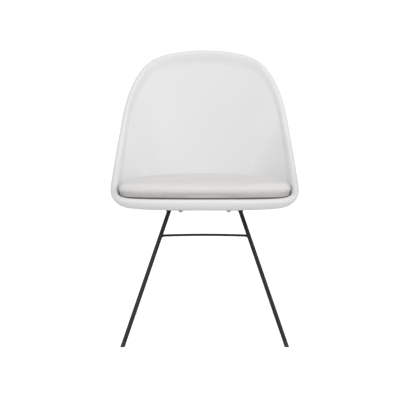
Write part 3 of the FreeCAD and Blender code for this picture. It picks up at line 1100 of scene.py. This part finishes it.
@dataclass
class SeatCushion:
    """Leatherette pad on a foam core, sewn to a lining below and held by hook-and-loop patches."""

    shell: SeatShell
    base: float = 0.3892
    belly: float = 0.438
    shoulder: float = 0.458
    top: float = 0.472
    overhang: float = 0.017
    clearance: float = 0.0022
    base_inset: float = 0.006
    base_share: float = 0.33
    edge_inset: float = 0.016
    lip_gap: float = 0.003
    crown: tuple = (0.92, 0.84, 0.73, 0.62, 0.5, 0.36, 0.24, 0.14)
    wall_levels: int = 10
    shoulder_levels: int = 8
    start_inset: float = 0.003
    foam_inset: float = 0.006
    voxel: float = 0.0055
    held_rise: float = 0.004
    pressure: float = 4.0
    stretch_stiffness: float = 12.0
    bending_stiffness: float = 0.8
    cloth_quality: int = 5
    cap: float = 0.004
    frames: int = 20
    panel_inset: float = 0.016
    panel_levels: tuple = ((0.3881, 0.0006), (0.3885, 0.0), (0.3889, 0.0006))
    patch_size: tuple = (0.060, 0.025)
    patch_corner: float = 0.004
    patch_crisp: float = 35.0
    patch_places: tuple = ((-0.075, -0.1125), (-0.075, 0.0375), (0.075, -0.1125), (0.075, 0.0375))
    seam_height: float = 0.4265
    seam_middle: float = -0.03
    seam_reach: float = 0.5
    seam_points: int = 480
    stitch_drop: float = 0.0022
    stitch_pitch: float = 0.0048
    stitch_length: float = 0.0034
    thread_radius: float = 0.00035
    thread_rise: float = 0.4

    def wall_at(self, height: float) -> np.ndarray:
        """Where the shell's inner skin is at a height, in each column, or its highest point.

        Args:
            height: The height.

        Returns:
            A point for each column.
        """
        inner = self.shell.inner
        found = inner[-1].copy()
        for i in range(inner.shape[1]):
            heights = inner[:, i, 2]
            above = np.nonzero(heights[1:] >= height)[0]
            if len(above):
                k = above[0]
                step = inner[k + 1, i] - inner[k, i]
                found[i] = inner[k, i] + step * max(0.0, (height - heights[k]) / step[2])
        return found

    def rings(self, inset: float) -> list[np.ndarray]:
        """Level rings of the pad's form, pulled in by an inset.

        Args:
            inset: How far they are pulled in.

        Returns:
            The rings, from the base up.
        """
        outward = self.shell.outward
        lips = self.shell.rim[:, 2] + self.shell.bead / 2 + self.lip_gap
        rings = []
        for share in np.linspace(0, 1, self.wall_levels):
            height = self.base + inset + share * (self.belly - self.base - inset)
            clearance = self.clearance + self.base_inset * (1 - smooth_step(share / self.base_share))
            over = self.overhang * smooth_step((height - lips) / (self.belly - lips[0]))
            ring = self.wall_at(height) + outward * (over - clearance - inset)[:, None]
            ring[:, 2] = height
            rings.append(ring)
        belly = rings[-1]
        shoulder = self.shoulder - inset
        for angle in np.radians(np.linspace(0, 90, self.shoulder_levels)[1:-1]):
            ring = belly - outward * self.edge_inset * (1 - math.cos(angle))
            ring[:, 2] = self.belly + (shoulder - self.belly) * math.sin(angle)
            rings.append(ring)
        middle = np.array((0.0, (belly[0, 1] + belly[len(belly) // 2, 1]) / 2, 0.0))
        edge = belly - outward * self.edge_inset
        for scale in self.crown:
            ring = middle + (edge - middle) * scale
            ring[:, 2] = shoulder + (self.top - inset - shoulder) * (1 - scale**2)
            rings.append(ring)
        return [ring[::2] for ring in rings]

    def puff(self, piece: Piece) -> None:
        """Let the cover swell under pressure, and hold every point within the cap.

        Args:
            piece: The cover.
        """
        remesh = piece.modifiers.new("remesh", "REMESH")
        remesh.mode = "VOXEL"
        remesh.voxel_size = self.voxel
        graph = bpy.context.evaluated_depsgraph_get()
        mesh = bpy.data.meshes.new_from_object(piece.evaluated_get(graph), depsgraph=graph)
        piece.modifiers.clear()
        piece.data = mesh
        rest = np.array([v.co for v in mesh.vertices])
        low = piece.vertex_groups.new(name="held")
        for i, point in enumerate(rest):
            if point[2] < self.base + self.start_inset + self.held_rise:
                low.add([i], 1.0, "REPLACE")
        cloth = piece.modifiers.new("cloth", "CLOTH")
        settings = cloth.settings
        settings.use_pressure = True
        settings.uniform_pressure_force = self.pressure
        settings.effector_weights.gravity = 0.0
        settings.vertex_group_mass = "held"
        settings.quality = self.cloth_quality
        settings.tension_stiffness = settings.compression_stiffness = self.stretch_stiffness
        settings.bending_stiffness = self.bending_stiffness
        scene = bpy.context.scene
        for number in range(1, self.frames + 1):
            scene.frame_set(number)
        graph = bpy.context.evaluated_depsgraph_get()
        swollen = piece.evaluated_get(graph).to_mesh()
        moved = np.array([v.co for v in swollen.vertices]) - rest
        piece.evaluated_get(graph).to_mesh_clear()
        piece.modifiers.clear()
        piece.vertex_groups.clear()
        scene.frame_set(1)
        outward = np.array([v.normal for v in mesh.vertices])
        swell = np.maximum(np.sum(moved * outward, axis=1, keepdims=True), 0.0)
        swell = self.cap * np.tanh(swell / self.cap)
        mesh.vertices.foreach_set("co", (rest + outward * swell).astype(np.float32).ravel())
        mesh.update()
        LOG.info("cushion swelled by %.1f mm at most", float(swell.max()) * 1000)

    def cover(self, finishes: Finishes) -> Piece:
        """Make the leatherette cover.

        Args:
            finishes: Finishes of the chair.

        Returns:
            The cover.
        """
        piece = closed_loft("form", self.rings(self.start_inset))
        piece.name = "cushion_pad"
        self.puff(piece)
        piece.data.name = piece.name
        shade_smooth(piece.data)
        subdivide(piece)
        wear(piece, finishes.cover)
        declare(piece, Slot.COVER, "cushion_cover")
        return piece

    def core(self, finishes: Finishes) -> Piece:
        """Make the foam core.

        Args:
            finishes: Finishes of the chair.

        Returns:
            The core.
        """
        piece = closed_loft("foam_core", self.rings(self.start_inset + self.foam_inset))
        wear(piece, finishes.foam)
        declare(piece, Slot.FOAM, "cushion_foam")
        return piece

    def lining(self, finishes: Finishes) -> Piece:
        """Make the lining sewn to the pad's lower edge.

        Args:
            finishes: Finishes of the chair.

        Returns:
            The lining.
        """
        base = self.rings(0.0)[0] - self.shell.outward[::2] * self.panel_inset
        rings = []
        for height, inset in self.panel_levels:
            ring = base - self.shell.outward[::2] * inset
            ring[:, 2] = height
            rings.append(ring)
        piece = closed_loft("lining_panel", rings)
        wear(piece, finishes.lining)
        declare(piece, Slot.LINING, "cushion_panel")
        return piece

    def patches(self, name: str, node: str, finishes: Finishes) -> Piece:
        """Make one set of hook-and-loop patches in the place of its node.

        Args:
            name: The piece's name.
            node: The node that it stands for.
            finishes: Finishes of the chair.

        Returns:
            The patches as one piece.
        """
        low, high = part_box(node)
        wide, deep = self.patch_size
        thick = high.z - low.z
        work = bmesh.new()
        for x, y in self.patch_places:
            bmesh.ops.create_cube(work, size=1.0)
            for vert in work.verts[-8:]:
                vert.co.x = x + vert.co.x * wide
                vert.co.y = y + vert.co.y * deep
                vert.co.z = (low.z + high.z) / 2 + vert.co.z * thick
        upright = [e for e in work.edges if abs(e.verts[0].co.z - e.verts[1].co.z) > thick / 2]
        bmesh.ops.bevel(work, geom=upright, offset=self.patch_corner, segments=5, affect="EDGES")
        piece = finish_work(name, work, self.patch_crisp)
        wear(piece, finishes.hooks)
        declare(piece, Slot.HOOK_LOOP, node)
        return piece

    def stitches(self, pad: Piece, finishes: Finishes) -> Piece:
        """Sew a row of stitches below the seam, on the pad's own surface.

        Args:
            pad: The cover.
            finishes: Finishes of the chair.

        Returns:
            The stitches as one piece.
        """
        graph = bpy.context.evaluated_depsgraph_get()
        tree = BVHTree.FromObject(pad, graph)
        height = self.seam_height - self.stitch_drop
        middle = Vector((0.0, self.seam_middle, height))
        line = []
        count = self.seam_points
        for k in range(count):
            angle = math.tau * k / count
            out = Vector((math.cos(angle), math.sin(angle), 0.0))
            hit = tree.ray_cast(middle + out * self.seam_reach, -out)
            line.append(hit[0] + hit[1] * self.thread_radius * self.thread_rise)
        seed = new_piece("seam_line", line, [], [(k, (k + 1) % count) for k in range(count)])
        sizes = {
            "Stitch Pitch": self.stitch_pitch,
            "Stitch Length": self.stitch_length,
            "Thread Radius": self.thread_radius,
            "Finish": finishes.thread,
        }
        piece = stitch_tree().grow("seam_stitches", seed, sizes)
        declare(piece, Slot.COVER)
        return piece

    def build(self, finishes: Finishes) -> None:
        """Make every piece of the cushion.

        Args:
            finishes: Finishes of the chair.
        """
        pad = self.cover(finishes)
        self.core(finishes)
        self.lining(finishes)
        self.patches("hook_patch_set", "hook_patches", finishes)
        self.patches("loop_patch_set", "loop_patches", finishes)
        self.stitches(pad, finishes)


# The rod base


@dataclass
class RodBase:
    """Two bent rod frames, their crossbar and the weld beads."""

    rod_radius: float = 0.006
    feet_across: float = 0.459
    feet_along: float = 0.440
    top_across: float = 0.211
    top_run: float = 0.180
    top_level: float = 0.361
    bend_radius: float = 0.030
    glide_length: float = 0.016
    bar_radius: float = 0.0035
    bar_height_share: float = 0.831
    bar_bend_radius: float = 0.015
    bar_tail: float = 0.022
    bar_end_slope: float = 2.0
    arch_points: int = 13
    bar_bend_steps: int = 10
    flats: int = 40
    crisp_angle: float = 40.0
    weld_length: float = 0.110
    weld_spread: float = 0.0056
    weld_drop: float = 0.0017
    bead_radius: float = 0.0024
    bead_pitch: float = 0.0021
    tail_bead_spread: float = 0.0030
    tail_bead_depth: float = 0.0032
    tail_bead_radius: float = 0.0016
    tail_bead_pitch: float = 0.0015
    bead_crisp_angle: float = 80.0
    bead_seed: int = 7

    def foot(self, side: Side, end: End) -> np.ndarray:
        """Where a leg's axis meets the floor."""
        return np.array((side.value * self.feet_across / 2, end.value * self.feet_along / 2, 0.0))

    def head(self, side: Side, end: End) -> np.ndarray:
        """Where a leg's axis meets the axis of the frame's top run."""
        return np.array((side.value * self.top_across / 2, end.value * self.top_run / 2, self.top_level))

    def leg_frame(self, side: Side, name: str, node: str, finishes: Finishes) -> Piece:
        """Sweep one leg frame.

        Args:
            side: Its side.
            name: The piece's name.
            node: The node that it stands for.
            finishes: Finishes of the chair.

        Returns:
            The frame.
        """
        starts = [
            self.foot(side, end) + unit(self.head(side, end) - self.foot(side, end)) * self.glide_length
            for end in (End.FRONT, End.REAR)
        ]
        corners = [starts[0], self.head(side, End.FRONT), self.head(side, End.REAR), starts[1]]
        path = rounded_path(corners, self.bend_radius)
        return self.sweep(name, path, self.rod_radius, finishes, node)

    def sweep(self, name: str, path: list, radius: float, finishes: Finishes, node: str) -> Piece:
        """Sweep a rod along a path and stand it for its node.

        Args:
            name: The piece's name.
            path: Points of its middle line.
            radius: Its radius.
            finishes: Finishes of the chair.
            node: The node that it stands for.

        Returns:
            The rod.
        """
        seed = new_piece("path", path, [], [(k, k + 1) for k in range(len(path) - 1)])
        sizes = {"Rod Radius": radius, "Flats": self.flats, "Finish": finishes.powder}
        piece = rod_tree().grow(name, seed, sizes)
        face_outwards(piece)
        piece.data.set_sharp_from_angle(angle=math.radians(self.crisp_angle))
        declare(piece, Slot.POWDER_COAT, node)
        return piece

    def bar_plane(self) -> tuple[np.ndarray, np.ndarray, float, float]:
        """Up and backward directions of the front legs' plane, its length and the bar's offset behind it.

        Returns:
            The two directions, the length and the offset.
        """
        foot, head = self.foot(Side.LEFT, End.FRONT), self.head(Side.LEFT, End.FRONT)
        rise = (head - foot) * (0, 1, 1)
        up = unit(rise)
        behind = np.array((0.0, up[2], -up[1]))
        return up, behind, float(np.linalg.norm(rise)), self.rod_radius + self.bar_radius

    def bar_paths(self) -> tuple[list[np.ndarray], dict[Side, tuple[np.ndarray, np.ndarray]]]:
        """Middle line of the crossbar, and the lower and upper end of each of its tails.

        Returns:
            The line's points, and the ends by side.
        """
        up, behind, length, offset = self.bar_plane()
        foot = self.foot(Side.LEFT, End.FRONT)
        lean = (self.feet_across - self.top_across) / 2 / length
        slope = math.radians(self.bar_end_slope)
        middle = (self.bar_height_share * self.top_level + offset * up[1]) / up[2]
        down_leg = unit(np.array((lean, -1.0)))
        bar_out = np.array((math.cos(slope), -math.sin(slope)))
        turn = math.acos(float(bar_out @ down_leg))
        setback = self.bar_bend_radius * math.tan(turn / 2)
        half = math.tan(slope / 2)
        corner_up = middle - (foot[0] - setback * math.cos(slope)) * half - setback * math.sin(slope)
        corner_up /= 1 - lean * half
        corner = np.array((foot[0] - lean * corner_up, corner_up))
        arch_end = corner - bar_out * setback
        tail_start = corner + down_leg * setback
        tail_end = tail_start + down_leg * self.bar_tail
        radius = arch_end[0] / math.sin(slope)
        angles = np.linspace(0, slope, self.arch_points)
        arch = [np.array((radius * math.sin(a), middle - radius * (1 - math.cos(a)))) for a in angles]
        bend = rounded_path([arch_end, corner, tail_start], self.bar_bend_radius, self.bar_bend_steps)
        half_path = arch[:-1] + bend[1:-1] + [tail_end]

        def place(point: np.ndarray, side: Side) -> np.ndarray:
            """Point of the plane in the chair's frame."""
            return np.array((side.value * point[0], foot[1], 0.0)) + up * point[1] + behind * offset

        path = [place(p, Side.RIGHT) for p in reversed(half_path)] + [place(p, Side.LEFT) for p in half_path[1:]]
        return path, {side: (place(tail_end, side), place(tail_start, side)) for side in Side}

    def welds(self, tails: dict, finishes: Finishes) -> Piece:
        """Lay the weld beads under the plate and beside the bar's tails.

        Args:
            tails: Ends of the bar's tails, by side.
            finishes: Finishes of the chair.

        Returns:
            The beads as one piece.
        """
        behind = self.bar_plane()[1]
        plate = self.top_level + self.rod_radius
        verts, small = [], []
        for side in Side:
            for flank in (-1, 1):
                x = side.value * self.top_across / 2 + flank * self.weld_spread
                for y in (-0.5, 0.5):
                    verts.append((x, y * self.weld_length, plate - self.weld_drop))
                tail_end, tail_start = tails[side]
                across = np.cross(unit(tail_start - tail_end), behind)
                shift = across * flank * self.tail_bead_spread - behind * self.tail_bead_depth
                small += [tail_end + shift, tail_start + shift]
        pieces = []
        for points, radius, pitch in (
            (verts, self.bead_radius, self.bead_pitch),
            (small, self.tail_bead_radius, self.tail_bead_pitch),
        ):
            seed = new_piece("weld_line", points, [], [(k, k + 1) for k in range(0, len(points), 2)])
            sizes = {"Ripple Pitch": pitch, "Bead Radius": radius, "Seed": self.bead_seed}
            sizes["Finish"] = finishes.powder
            pieces.append(bead_tree().grow("weld_ripples", seed, sizes))
        work = bmesh.new()
        for part in pieces:
            work.from_mesh(part.data)
            bpy.data.objects.remove(part)
        piece = finish_work("weld_bead_set", work, self.bead_crisp_angle)
        wear(piece, finishes.powder)
        declare(piece, Slot.POWDER_COAT, "weld_beads")
        return piece

    def build(self, finishes: Finishes) -> None:
        """Make the frames, the crossbar and the welds.

        Args:
            finishes: Finishes of the chair.
        """
        self.leg_frame(Side.LEFT, "left_rod_frame", "left_leg_frame", finishes)
        self.leg_frame(Side.RIGHT, "right_rod_frame", "right_leg_frame", finishes)
        path, tails = self.bar_paths()
        self.sweep("front_bar", path, self.bar_radius, finishes, "front_crossbar")
        self.welds(tails, finishes)


# The fastening stack


@dataclass
class FasteningStack:
    """Four screws with their flat and spring washers."""

    places: tuple
    plate_underside: float = 0.367
    washer_radius: float = 0.007
    washer_thickness: float = 0.0016
    spring_radius: float = 0.0059
    spring_thickness: float = 0.0016
    bore_radius: float = 0.0033
    shank_radius: float = 0.003
    shank_length: float = 0.016
    thread_pitch: float = 0.001
    thread_depth: float = 0.0004
    thread_start: float = 0.0015
    thread_run_out: float = 0.0012
    point_taper: float = 0.0008
    head_radius: float = 0.0055
    head_height: float = 0.0033
    head_edge: float = 0.0004
    head_chamfer: float = 0.0003
    crown_flat: float = 0.0028
    crown_spread: float = 0.0024
    crown_rise: float = 0.0026
    socket_radius: float = 0.00231
    socket_depth: float = 0.002
    socket_cone: float = 0.0005
    chamfer: float = 0.0002
    split_angle: float = 11.0
    spring_steps: int = 44
    screw_flats: int = 36
    washer_flats: int = 48
    crisp_angle: float = 30.0
    seed: int = 11

    def screw(self) -> Piece:
        """One button-head screw, its seat at height zero and its head below.

        Returns:
            The screw.
        """
        work = bmesh.new()
        low, rim, turns = -self.head_height, self.head_radius, self.screw_flats
        outline = []
        for k in range(9):
            turn = math.radians(90 * k / 8)
            radius = self.crown_flat + self.crown_spread * math.sin(turn)
            outline.append((radius, low + self.crown_rise * (1 - math.cos(turn))))
        outline += [(rim, -self.head_edge), (rim - self.head_chamfer, 0.0), (self.shank_radius, 0.0)]
        height = self.thread_start
        while height < self.shank_length - self.thread_run_out:
            outline.append((self.shank_radius, height))
            outline.append((self.shank_radius - self.thread_depth, height + self.thread_pitch / 2))
            height += self.thread_pitch
        outline += [(self.shank_radius - self.point_taper, self.shank_length), (0.0, self.shank_length)]
        rings = [turned_ring(work, radius, z, turns) for radius, z in outline]
        for lower, upper in zip(rings, rings[1:]):
            bridge(work, lower, upper)
        hexagon = []
        for z in (low, low + self.socket_depth):
            ring = []
            for k in range(turns):
                angle = math.tau * k / turns
                corner = (angle + math.pi / 6) % (math.pi / 3) - math.pi / 6
                radius = self.socket_radius * math.cos(math.pi / 6) / math.cos(corner)
                ring.append(work.verts.new((radius * math.cos(angle), radius * math.sin(angle), z)))
            hexagon.append(ring)
        pole = [work.verts.new((0.0, 0.0, low + self.socket_depth + self.socket_cone))]
        for lower, upper in ((hexagon[0], rings[0]), (hexagon[1], hexagon[0]), (pole, hexagon[1])):
            bridge(work, lower, upper)
        return finish_work("screw_master", work, self.crisp_angle)

    def washer(self) -> Piece:
        """One flat washer, its top face at height zero.

        Returns:
            The washer.
        """
        chamfer, low = self.chamfer, -self.washer_thickness
        work = bmesh.new()
        profile = [
            (self.bore_radius, 0.0),
            (self.bore_radius, low),
            (self.washer_radius - chamfer, low),
            (self.washer_radius, low + chamfer),
            (self.washer_radius, -chamfer),
            (self.washer_radius - chamfer, 0.0),
        ]
        lathe(work, profile, (0.0, 0.0), self.washer_flats)
        return finish_work("washer_master", work, self.crisp_angle)

    def spring(self) -> Piece:
        """One split spring washer, its top face at height zero.

        Returns:
            The washer.
        """
        work = bmesh.new()
        steps, gap, chamfer = self.spring_steps, math.radians(self.split_angle), self.chamfer
        inside, outside, low = self.bore_radius, self.spring_radius, -self.spring_thickness
        section = (
            (inside, -chamfer),
            (inside, low + chamfer),
            (inside + chamfer, low),
            (outside - chamfer, low),
            (outside, low + chamfer),
            (outside, -chamfer),
            (outside - chamfer, 0.0),
            (inside + chamfer, 0.0),
        )
        rings = []
        for k in range(steps + 1):
            angle = gap / 2 + (math.tau - gap) * k / steps
            rings.append([work.verts.new((r * math.cos(angle), r * math.sin(angle), z)) for r, z in section])
        for one, two in zip(rings, rings[1:]):
            bridge(work, one, two)
        work.faces.new(rings[0])
        work.faces.new(rings[-1])
        return finish_work("spring_master", work, self.crisp_angle)

    def place(self, name: str, master: Piece, level: float, node: str, material: Material) -> Piece:
        """Put a fastener at the four screw places.

        Args:
            name: The piece's name.
            master: The fastener to repeat; it is removed.
            level: Height of its zero plane.
            node: The node that the set stands for.
            material: Its finish.

        Returns:
            The set as one piece.
        """
        seed = new_piece("screw_places", [(x, y, level) for x, y in self.places], [])
        sizes = {"Fastener": master, "Most Turn": math.tau, "Seed": self.seed, "Finish": material}
        piece = fastener_tree().grow(name, seed, sizes)
        bpy.data.objects.remove(master)
        declare(piece, Slot.ZINC, node)
        return piece

    def build(self, finishes: Finishes) -> None:
        """Make the screws and washers.

        Args:
            finishes: Finishes of the chair.
        """
        seat = self.plate_underside - self.washer_thickness
        self.place("washer_set", self.washer(), self.plate_underside, "plate_washers", finishes.zinc)
        self.place("spring_washer_set", self.spring(), seat, "spring_washers", finishes.zinc)
        self.place("screw_set", self.screw(), seat - self.spring_thickness, "plate_screws", finishes.zinc)


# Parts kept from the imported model


class KeptParts:
    """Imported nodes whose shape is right, dressed with finer finishes."""

    def build(self, finishes: Finishes) -> None:
        """Put each finish on its nodes.

        Args:
            finishes: Finishes of the chair.
        """
        dressed = {
            "mounting_plate": finishes.powder,
            "shell_inserts": finishes.brass,
            "boss_spacers": finishes.spacer,
            "glide_front_left": finishes.glide,
            "glide_front_right": finishes.glide,
            "glide_rear_left": finishes.glide,
            "glide_rear_right": finishes.glide,
        }
        for name, material in dressed.items():
            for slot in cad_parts[name].material_slots:
                slot.material = material
            LOG.info("%s: kept, wears %s", name, material.name)


# Floor, light and camera


@dataclass(frozen=True)
class SoftLight:
    """Broad distant light: its strength, the way its light travels and how soft it is, in degrees."""

    name: str
    strength: float
    travel: Triple
    softness: float


@dataclass
class Studio:
    """White studio: pale floor, even white surroundings and soft lights."""

    camera_place: Triple = (0.0, -2.82, 0.65)
    camera_tilt: float = 5.234
    sensor_width: float = 36.0
    focal_pixels: float = 948.0
    frame_pixels: int = 400
    axis_pixel: float = 204.7
    surroundings: float = 0.47
    backdrop: float = 1.05
    lamps: tuple[SoftLight, ...] = (
        SoftLight("front_light", 0.85, (0.0, 1.0, -1.25), 40.0),
        SoftLight("front_right_light", 0.36, (-0.65, 1.0, -0.33), 30.0),
        SoftLight("left_light", 0.30, (1.67, 1.07, -1.0), 14.0),
        SoftLight("right_light", 0.30, (-1.335, 0.055, -1.0), 14.0),
    )
    floor_reach: float = 60.0

    def floor(self) -> None:
        """Lay the floor."""
        reach = self.floor_reach
        corners = [(-reach, -reach, 0.0), (reach, -reach, 0.0), (reach, reach, 0.0), (-reach, reach, 0.0)]
        piece = new_piece("floor", corners, [(0, 1, 2, 3)])
        wear(piece, PaleFloor().material())

    def lights(self) -> None:
        """Light the chair from all round, and from both sides."""
        world = bpy.data.worlds.new("studio")
        bpy.context.scene.world = world
        world.use_nodes = True
        tree = world.node_tree
        around = tree.nodes["Background"]
        seen = tree.nodes.new("ShaderNodeBackground")
        for background, strength in ((around, self.surroundings), (seen, self.backdrop)):
            background.inputs["Color"].default_value = (1, 1, 1, 1)
            background.inputs["Strength"].default_value = strength
        path = tree.nodes.new("ShaderNodeLightPath")
        mix = tree.nodes.new("ShaderNodeMixShader")
        tree.links.new(path.outputs["Is Camera Ray"], mix.inputs[0])
        tree.links.new(around.outputs[0], mix.inputs[1])
        tree.links.new(seen.outputs[0], mix.inputs[2])
        tree.links.new(mix.outputs[0], tree.nodes["World Output"].inputs["Surface"])
        for lamp in self.lamps:
            light = bpy.data.lights.new(lamp.name, "SUN")
            light.energy = lamp.strength
            light.angle = math.radians(lamp.softness)
            stand = new_object(lamp.name, light)
            stand.rotation_euler = Vector(lamp.travel).to_track_quat("-Z", "Y").to_euler()

    def camera(self) -> None:
        """Stand the camera where the photograph was taken from."""
        data = bpy.data.cameras.new("photo_view")
        data.sensor_width = self.sensor_width
        data.lens = self.focal_pixels * self.sensor_width / self.frame_pixels
        data.shift_x = (self.frame_pixels / 2 - self.axis_pixel) / self.frame_pixels
        camera = new_object("photo_view", data)
        camera.location = self.camera_place
        camera.rotation_euler = (math.radians(90 - self.camera_tilt), 0.0, 0.0)
        bpy.context.scene.camera = camera
        bpy.context.scene.view_settings.view_transform = "Standard"

    def build(self) -> None:
        """Set up floor, lights and camera."""
        self.floor()
        self.lights()
        self.camera()


def main() -> None:
    """Build the chair and its studio."""
    logging.basicConfig(level=logging.INFO, format="%(name)s: %(message)s")
    Studio().build()
    finishes = Finishes()
    shell = SeatShell()
    shell.build(finishes)
    SeatCushion(shell).build(finishes)
    RodBase().build(finishes)
    FasteningStack(shell.boss_places).build(finishes)
    KeptParts().build(finishes)


if __name__ == "__main__":
    main()
